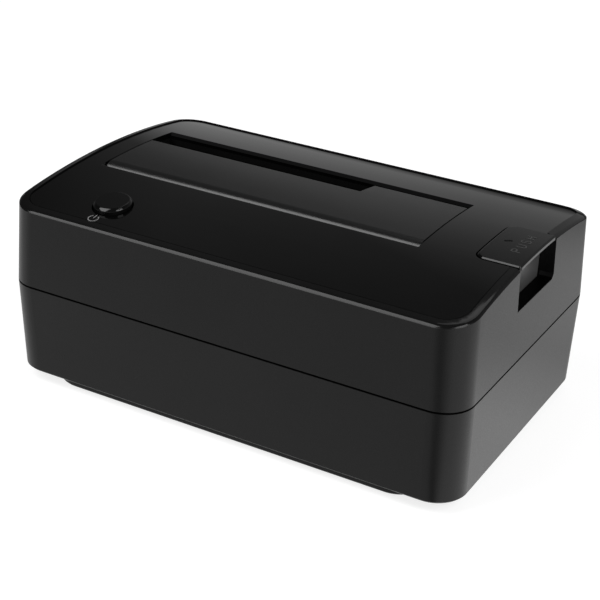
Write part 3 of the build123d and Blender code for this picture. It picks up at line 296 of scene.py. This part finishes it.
def surface(tree, shader, colour_noise, colours, rough_noise, rough, height, distance):
    """Feeds a shader its drift of colour, its roughness and its bump."""
    dark, light = colours
    feed(tree, shader.inputs["Base Color"], ramp(tree, colour_noise, [(NOISE_LOW, dark), (NOISE_HIGH, light)]))
    feed(tree, shader.inputs["Roughness"], levels(tree, rough_noise, rough))
    lift = add_node(tree, "ShaderNodeBump", Height=height, Strength=1.0, Distance=distance)
    feed(tree, shader.inputs["Normal"], lift.outputs["Normal"])


def moulded(name, dark, light, grain, bump, rough, specular=0.5):
    """Moulded or rolled surface: colour drifts between two shades, with a fine grain in bump and roughness."""
    material, tree, shader, place = start_material(name)
    drift = noise(tree, place, MOTTLE, detail=4.0)
    fine = noise(tree, place, grain, detail=3.0, roughness=0.6)
    surface(tree, shader, drift, (dark, light), fine, rough, fine, bump)
    shader.inputs["Specular IOR Level"].default_value = specular
    return material


def polished(name, dark, light, rough, specular=0.5):
    """Polished moulding: a faint waviness, dust-fine haze in roughness and a slow drift in colour."""
    material, tree, shader, place = start_material(name)
    drift = noise(tree, place, POLISH_DRIFT, detail=3.0)
    haze = noise(tree, place, POLISH_HAZE, detail=6.0, roughness=0.7)
    swell = noise(tree, place, POLISH_WAVE, detail=1.0)
    surface(tree, shader, drift, (dark, light), haze, rough, swell, POLISH_WAVE_HEIGHT)
    shader.inputs["Specular IOR Level"].default_value = specular
    return material


def brushed(name, dark, light, along, rough):
    """Metal with fine drawing marks along one axis."""
    material, tree, shader, place = start_material(name)
    stretch = add_node(tree, "ShaderNodeMapping", Vector=place, Scale=along)
    marks = noise(tree, stretch.outputs["Vector"], BRUSH_MARK, detail=4.0, roughness=0.7)
    surface(tree, shader, marks, (dark, light), marks, rough, marks, BRUSH_HEIGHT)
    shader.inputs["Metallic"].default_value = 1.0
    return material


def board_material():
    """Green solder mask over copper: tracks as straight runs, pads as small dots."""
    material, tree, shader, place = start_material("board_mask")
    tracks = add_node(
        tree, "ShaderNodeTexBrick", Vector=place, Color1=MASK_DARK, Color2=MASK_LIGHT, Mortar=TRACK_COLOUR,
        Scale=TRACK_SCALE, Mortar_Size=TRACK_WIDTH,
    )
    dots = add_node(tree, "ShaderNodeTexVoronoi", Vector=place, Scale=PAD_SCALE)
    pads = ramp(tree, dots.outputs["Distance"], [(PAD_EDGE[0], PAD_COLOUR), (PAD_EDGE[1], grey(0.0))])
    mixed = tree.nodes.new("ShaderNodeMix")
    mixed.data_type = "RGBA"
    mixed.blend_type = "ADD"
    mixed.inputs["Factor"].default_value = PAD_SHARE
    tree.links.new(tracks.outputs["Color"], mixed.inputs["A"])
    tree.links.new(pads, mixed.inputs["B"])
    tree.links.new(mixed.outputs["Result"], shader.inputs["Base Color"])
    fine = noise(tree, place, BOARD_GRAIN, detail=3.0)
    tree.links.new(levels(tree, fine, BOARD_ROUGHNESS), shader.inputs["Roughness"])
    return material


def blend_input(material, name, mask, other):
    """Blends a shader input, where the mask is 1, into another value or colour."""
    tree = material.node_tree
    socket = tree.nodes["Principled BSDF"].inputs[name]
    source = socket.links[0].from_socket
    mix = tree.nodes.new("ShaderNodeMix")
    mix.data_type = "RGBA" if socket.type == "RGBA" else "FLOAT"
    enabled = {slot.name: slot for slot in mix.inputs if slot.enabled}
    result = [slot for slot in mix.outputs if slot.enabled][0]
    tree.links.new(mask, enabled["Factor"])
    tree.links.new(source, enabled["A"])
    enabled["B"].default_value = other
    tree.links.new(result, socket)


def shine_rim(material):
    """The arched flat of the rim is as smooth as the panel inside it, and the sides keep their grain."""
    tree = material.node_tree
    place = axes(tree, object_place(tree))
    above = calculate(tree, "ADD", place["Z"], ARCH_RADIUS - CROWN)
    spoke = add_node(tree, "ShaderNodeCombineXYZ", Y=place["Y"], Z=above).outputs["Vector"]
    reach = tree.nodes.new("ShaderNodeVectorMath")
    reach.operation = "LENGTH"
    tree.links.new(spoke, reach.inputs[0])
    mask = spread(tree, reach.outputs["Value"], (ARCH_RADIUS - RIM_FADE, ARCH_RADIUS - RIM_SHINE), RISING)
    blend_input(material, "Roughness", mask, RIM_ROUGHNESS)
    bump = [node for node in tree.nodes if node.type == "BUMP"][0]
    tree.links.new(spread(tree, mask, RISING, (1.0, RIM_GRAIN)), bump.inputs["Strength"])


def paint_skirt_reflection(material):
    """The eject key's face inside the pocket gets a lighter grey, a painted reflection of the bright floor, and a
    satin roughness.
    """
    tree = material.node_tree
    place = axes(tree, object_place(tree))
    outward = spread(tree, place["X"], SKIRT_OUT, RISING)
    below = spread(tree, place["Z"], SKIRT_TOP, FALLING)
    mask = calculate(tree, "MULTIPLY", outward, below)
    blend_input(material, "Base Color", mask, grey(SKIRT_REFLECTION_GREY))
    blend_input(material, "Roughness", mask, SKIRT_ROUGHNESS)


def paint_pocket_shade(material):
    """The walls of the eject key's pocket get a darker grey as painted shade, and shine less than the case's outside.
    """
    tree = material.node_tree
    place = axes(tree, object_place(tree))
    lean = calculate(tree, "MULTIPLY_ADD", place["Z"], WALL_LEAN, place["X"])
    mask = spread(tree, lean, WALL_EDGE, FALLING)
    for axis, source, target in POCKET_SIDES:
        mask = calculate(tree, "MULTIPLY", mask, spread(tree, place[axis], source, target))
    specular = tree.nodes["Principled BSDF"].inputs["Specular IOR Level"]
    tree.links.new(spread(tree, mask, RISING, (specular.default_value, POCKET_SPECULAR)), specular)
    blend_input(material, "Base Color", mask, grey(POCKET_SHADE_GREY))


def dress(material, *names):
    """Puts the material on every slot of these CAD nodes."""
    for name in names:
        for slot in nodes[name].material_slots:
            slot.material = material


def link_object(name, data):
    """New object of the scene that shows this mesh, camera or lamp."""
    thing = bpy.data.objects.new(name, data)
    bpy.context.scene.collection.objects.link(thing)
    return thing


def top_height(y, stand):
    """Height, at depth y, of the surface that stands this far off the arched top."""
    return CROWN - ARCH_RADIUS + ((ARCH_RADIUS + stand) ** 2 - y**2) ** 0.5


def printed(name, faces, material, body, stand=0.0):
    """Thin print on the arched top, from flat outlines given as lists of (x, y) in metres."""
    mesh = bpy.data.meshes.new(name)
    build = bmesh.new()
    for outline in faces:
        build.faces.new([build.verts.new((x, y, top_height(y, stand) + PRINT_LIFT)) for x, y in outline])
    bmesh.ops.recalc_face_normals(build, faces=build.faces)
    for face in build.faces:
        if face.normal.z < 0:
            face.normal_flip()
    shell = bmesh.ops.extrude_face_region(build, geom=list(build.faces))
    moved = [item for item in shell["geom"] if isinstance(item, bmesh.types.BMVert)]
    bmesh.ops.translate(build, verts=moved, vec=(0.0, 0.0, PRINT_WALL))
    build.to_mesh(mesh)
    build.free()
    mesh.materials.append(material)
    thing = link_object(name, mesh)
    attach(thing, body)


def ring_faces(centre, inner, outer, start, end, steps):
    """Quads of a flat ring between two angles."""
    faces = []
    for index in range(steps):
        low = start + (end - start) * index / steps
        high = start + (end - start) * (index + 1) / steps
        faces.append([
            (centre[0] + radius * cos(angle), centre[1] + radius * sin(angle))
            for radius, angle in ((inner, low), (outer, low), (outer, high), (inner, high))
        ])
    return faces


def bar_faces(start, end, width):
    """Quads of a straight bar between two points, cut across so that it can follow the arch."""
    start, end = Vector(start), Vector(end)
    along = end - start
    across = Vector((-along.y, along.x)).normalized() * width / 2
    faces = []
    for index in range(BAR_STEPS):
        low = start + along * index / BAR_STEPS
        high = start + along * (index + 1) / BAR_STEPS
        faces.append([tuple(low - across), tuple(high - across), tuple(high + across), tuple(low + across)])
    return faces


def edge_lifts(edge, level):
    """Heights of the normals of an edge's two faces, the lower first, if the edge lies above this level."""
    if len(edge.link_faces) != 2 or min(vert.co.z for vert in edge.verts) < level:
        return (0.0, 0.0)
    return sorted(face.normal.z for face in edge.link_faces)


def on_chamfer(lift):
    """Whether a face with this height of its normal is a chamfer."""
    return CHAMFER_LIFTS[0] < lift < CHAMFER_LIFTS[1]


def is_rim(edge):
    """Edge between an arched flat of the top and its chamfer."""
    low, high = edge_lifts(edge, RIM_LEVEL)
    return on_chamfer(low) and high > FLAT_LIFT


def is_key_edge(edge):
    """Edge at either side of the chamfer round the power key's top."""
    low, high = edge_lifts(edge, KEY_LEVEL)
    return (on_chamfer(low) and high > FLAT_LIFT) or (abs(low) < UPRIGHT_LIFT and on_chamfer(high))


def raise_inside(build, edges, lip):
    """Raises the rim's inner edge over the panel at the left and the rear, so that it falls a little outwards."""
    outer = {vert for edge in edges for vert in edge.verts}
    for vert in build.verts:
        reach = (vert.co.y**2 + (vert.co.z + ARCH_RADIUS - CROWN) ** 2) ** 0.5
        if vert in outer or abs(reach - ARCH_RADIUS) > ON_ARCH:
            continue
        if vert.co.x < 0 or vert.co.y > LIP_BREAK:
            rise = (vert.co.y - LIP_START) / (LIP_FULL - LIP_START)
            vert.co.z += lip * min(max(rise, 0.0), 1.0)


def softened(node, name, body, material, wanted, width, steps, lip=0.0):
    """Stands in for a solid, with the wanted edges rounded and all else as it is."""
    mesh = nodes[node].data.copy()
    build = bmesh.new()
    build.from_mesh(mesh)
    bmesh.ops.remove_doubles(build, verts=build.verts, dist=WELD)
    bmesh.ops.dissolve_limit(build, angle_limit=LEVEL_ANGLE, verts=build.verts, edges=build.edges)
    build.normal_update()
    edges = [edge for edge in build.edges if wanted(edge)]
    raise_inside(build, edges, lip)
    bmesh.ops.bevel(
        build, geom=edges, offset=width, offset_type="OFFSET", segments=steps, profile=0.5, affect="EDGES",
        clamp_overlap=True,
    )
    bmesh.ops.triangulate(build, faces=[face for face in build.faces if len(face.verts) > 4])
    for face in build.faces:
        face.smooth = True
    for edge in build.edges:
        edge.smooth = len(edge.link_faces) == 2 and edge.calc_face_angle() < SHARP_ANGLE
    packed_normals = mesh.attributes.get("custom_normal")
    if packed_normals:
        mesh.attributes.remove(packed_normals)
    build.to_mesh(mesh)
    build.free()
    mesh.materials.clear()
    mesh.materials.append(material)
    piece = link_object(name, mesh)
    weighted = piece.modifiers.new("weighted", "WEIGHTED_NORMAL")
    weighted.keep_sharp = True
    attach(piece, body)
    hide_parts(node)


def stand_in(node, name):
    """Piece with a copy of the node's own mesh, standing in for the node, which is hidden."""
    piece = link_object(name, nodes[node].data.copy())
    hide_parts(node)
    return piece


def lay_floor():
    """Pale floor that shows near white and keeps the object's shadow, and that gloss sees darker in places."""
    mesh = bpy.data.meshes.new("floor")
    corners = [(-1, -1), (1, -1), (1, 1), (-1, 1)]
    mesh.from_pydata([(x * FLOOR_HALF, y * FLOOR_HALF, 0.0) for x, y in corners], [], [(0, 1, 2, 3)])
    floor = link_object("floor", mesh)
    material, tree, shader, place = start_material("floor")
    shader.inputs["Base Color"].default_value = grey(FLOOR_GREY)
    shader.inputs["Roughness"].default_value = FLOOR_ROUGHNESS
    shader.inputs["Specular IOR Level"].default_value = 0.0
    shader.inputs["Emission Color"].default_value = grey(1.0)
    place = axes(tree, place)
    along = calculate(tree, "SUBTRACT", place["X"], FLOOR_CORNER[0])
    behind = calculate(tree, "SUBTRACT", place["Y"], FLOOR_CORNER[1])
    around = spread(tree, calculate(tree, "ARCTAN2", behind, along), (-pi, pi), (0.0, 1.0))
    mirrored = ramp(tree, around, greys(FLOOR_SECTORS))
    for source, target in FLOOR_DEPTHS:
        mirrored = calculate(tree, "MULTIPLY", mirrored, spread(tree, place["Y"], source, target))
    path = tree.nodes.new("ShaderNodeLightPath").outputs
    gloss = calculate(tree, "MAXIMUM", path["Is Glossy Ray"], path["Is Transmission Ray"])
    seen = calculate(tree, "MULTIPLY_ADD", mirrored, gloss, path["Is Camera Ray"])
    tree.links.new(calculate(tree, "MULTIPLY", seen, FLOOR_GLOW), shader.inputs["Emission Strength"])
    mesh.materials.append(material)


def light_world():
    """White sky for the camera; for everything else bright near the horizon and dim above."""
    world = bpy.data.worlds.new("studio")
    bpy.context.scene.world = world
    world.use_nodes = True
    tree = world.node_tree
    plain = tree.nodes["Background"]
    way = axes(tree, tree.nodes.new("ShaderNodeTexCoord").outputs["Generated"])
    height = calculate(tree, "DIVIDE", way["Z"], spread(tree, way["X"], *SKY_STRETCH))
    tree.links.new(ramp(tree, height, greys(SKY_RISE)), plain.inputs["Color"])
    level = calculate(tree, "MULTIPLY", *[spread(tree, way["X"], *span) for span in SKY_WIDTHS])
    tree.links.new(level, plain.inputs["Strength"])
    shown = add_node(tree, "ShaderNodeBackground", Color=grey(1.0))
    path = tree.nodes.new("ShaderNodeLightPath").outputs
    choose = add_node(tree, "ShaderNodeMixShader", Fac=path["Is Camera Ray"])
    tree.links.new(plain.outputs[0], choose.inputs[1])
    tree.links.new(shown.outputs[0], choose.inputs[2])
    tree.links.new(choose.outputs[0], tree.nodes["World Output"].inputs["Surface"])


case_black = moulded(
    "case_texture", grey(0.0055), grey(0.0075), grain=0.28 * MM, bump=0.012 * MM, rough=(0.26, 0.34), specular=0.25
)
bay_black = moulded(
    "bay_texture", grey(0.004), grey(0.006), grain=0.4 * MM, bump=0.02 * MM, rough=(0.4, 0.55), specular=0.25
)
foot_rubber = moulded(
    "rubber_texture", grey(0.012), grey(0.02), grain=0.3 * MM, bump=0.03 * MM, rough=(0.7, 0.9), specular=0.3
)
panel_gloss = polished("panel_polish", grey(0.0018), grey(0.0026), rough=(0.035, 0.06))
flap_gloss = polished("flap_polish", grey(0.0075), grey(0.01), rough=(0.2, 0.27))
key_gloss = polished("key_polish", grey(0.003), grey(0.004), rough=(0.09, 0.13), specular=0.35)
key_black = polished("key_texture", grey(0.002), grey(0.003), rough=(0.12, 0.18), specular=0.36)
acetal = moulded(
    "acetal", (0.62, 0.6, 0.55, 1.0), (0.68, 0.66, 0.6, 1.0), grain=0.6 * MM, bump=0.01 * MM, rough=(0.35, 0.5)
)
steel_x = brushed("pin_steel", grey(0.38), grey(0.52), along=(0.05, 1.0, 1.0), rough=(0.22, 0.34))
steel_wire = brushed("wire_steel", grey(0.3), grey(0.45), along=(1.0, 1.0, 1.0), rough=(0.25, 0.4))
tinned = brushed("tinned_sheet", grey(0.5), grey(0.62), along=(1.0, 0.05, 1.0), rough=(0.2, 0.35))
screw_dark = brushed("screw_finish", grey(0.08), grey(0.14), along=(1.0, 1.0, 0.2), rough=(0.3, 0.45))
gold = brushed(
    "gold_flash", (0.7, 0.48, 0.16, 1.0), (0.8, 0.56, 0.22, 1.0), along=(1.0, 1.0, 0.1), rough=(0.2, 0.3)
)
connector_black = moulded(
    "connector_black", grey(0.012), grey(0.016), grain=0.5 * MM, bump=0.008 * MM, rough=(0.35, 0.48)
)
connector_white = moulded(
    "connector_white", grey(0.55), grey(0.62), grain=0.5 * MM, bump=0.008 * MM, rough=(0.35, 0.48)
)
chip_black = moulded("chip_epoxy", grey(0.014), grey(0.02), grain=0.2 * MM, bump=0.006 * MM, rough=(0.5, 0.65))
sleeve = brushed("can", grey(0.42), grey(0.55), along=(1.0, 1.0, 0.2), rough=(0.25, 0.4))
ferrite = moulded("ferrite", grey(0.03), grey(0.05), grain=0.2 * MM, bump=0.012 * MM, rough=(0.6, 0.75))

shine_rim(case_black)
# Painted shade: the walls of the eject key's pocket darkened in colour and shine
paint_pocket_shade(case_black)
# Painted reflection: a lighter grey on the eject key's face inside the pocket
paint_skirt_reflection(key_black)
for material, names in (
    (case_black, ("upper_housing", "lower_housing", "base_plate")),
    (bay_black, ("drive_bay",)),
    (foot_rubber, ("rubber_feet",)),
    (panel_gloss, ("top_panel",)),
    (flap_gloss, ("drive_flap",)),
    (key_gloss, ("power_button",)),
    (key_black, ("eject_button",)),
    (acetal, ("eject_rocker", "switch_plunger")),
    (steel_x, ("flap_hinge_pin", "rocker_pin")),
    (steel_wire, ("flap_spring", "eject_spring")),
    (tinned, ("esata_shell", "usb_shell", "crystal")),
    (screw_dark, ("case_screws",)),
    (gold, ("sata_contacts", "dc_jack_pin")),
    (connector_black, ("sata_receptacle", "esata_tongue", "dc_jack", "power_switch")),
    (connector_white, ("usb_tongue",)),
    (chip_black, ("bridge_chip",)),
    (sleeve, ("board_capacitors",)),
    (ferrite, ("power_coil",)),
    (board_material(), ("main_board",)),
):
    dress(material, *names)

softened(
    "upper_housing", "housing_soft", "station", case_black, is_rim, RIM_ROUND, RIM_STEPS, RIM_LIP
)
softened(
    "power_button", "power_cap", "power_key", key_gloss, is_key_edge, POWER_ROUND, KEY_STEPS
)
softened("eject_button", "eject_cap", "eject_key", key_black, is_rim, EJECT_ROUND, KEY_STEPS)

# The hinge spring winds between the flap and its stop, and the eject spring shortens under the key
hinge_coil = stand_in("flap_spring", "hinge_coil")
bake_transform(hinge_coil)
eject_coil = stand_in("eject_spring", "eject_coil")
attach(eject_coil, "station")
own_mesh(eject_coil)

# Power sign printed in front of the power key: a ring open towards the key, and a bar
sign_ink = moulded(
    "sign_ink", grey(0.2), grey(0.26), grain=0.2 * MM, bump=0.002 * MM, rough=(0.45, 0.6), specular=0.3
)
sign = ring_faces(
    SIGN, SIGN_RADIUS - SIGN_LINE / 2, SIGN_RADIUS + SIGN_LINE / 2, pi / 2 + SIGN_GAP, 5 * pi / 2 - SIGN_GAP,
    SIGN_STEPS,
)
sign += bar_faces(*[(SIGN[0], SIGN[1] + height) for height in SIGN_BAR], SIGN_LINE)
printed("power_sign", sign, sign_ink, "station")

# The word reads along the eject key's outer edge
word_ink = moulded("word_gloss", grey(0.03), grey(0.05), grain=0.2 * MM, bump=0.002 * MM, rough=(0.3, 0.4))
word = []
for index, letter in enumerate("PUSH"):
    for stroke in LETTERS[letter]:
        ends = [
            (WORD_START[0] - rise * WORD_UNIT, WORD_START[1] + index * WORD_STEP + run * WORD_UNIT)
            for run, rise in stroke
        ]
        word += bar_faces(*ends, WORD_LINE)
printed("push_word", word, word_ink, "eject_key", TAB_STAND)
dash_ink = moulded(
    "dash_ink", grey(0.0005), grey(0.001), grain=0.2 * MM, bump=0.002 * MM, rough=(0.5, 0.6), specular=0.1
)
printed("push_dash", bar_faces(*DASH_ENDS, DASH_LINE), dash_ink, "eject_key", TAB_STAND)

back = Vector((sin(AZIMUTH) * cos(ELEVATION), -cos(AZIMUTH) * cos(ELEVATION), sin(ELEVATION)))
right = Vector((cos(AZIMUTH), sin(AZIMUTH), 0.0))
up = back.cross(right)
aim = Vector((0.0, 0.0, AIM_HEIGHT)) + AIM_RIGHT * right + AIM_UP * up
eye = (aim + DISTANCE * back) * UNIT + Vector((0.0, 0.0, BASE_LIFT))
side = cos(ROLL) * right - sin(ROLL) * up
top = sin(ROLL) * right + cos(ROLL) * up
lens = bpy.data.cameras.new("camera")
lens.sensor_width = SENSOR
lens.lens = FOCAL_PIXELS / IMAGE_PIXELS * SENSOR
lens.clip_start = CLIP_START
camera = link_object("camera", lens)
camera.matrix_world = Matrix.Translation(eye) @ Matrix((side, top, back)).transposed().to_4x4()
bpy.context.scene.camera = camera

lay_floor()
light_world()
for name, (place, size, power) in LAMPS.items():
    lamp = bpy.data.lights.new(name, "AREA")
    lamp.size = size
    lamp.energy = power
    place = Vector(place)
    facing = (place - LAMP_AIM).to_track_quat("Z", "Y").to_matrix().to_4x4()
    link_object(name, lamp).matrix_world = Matrix.Translation(place) @ facing

bpy.context.scene.view_settings.view_transform = "Standard"
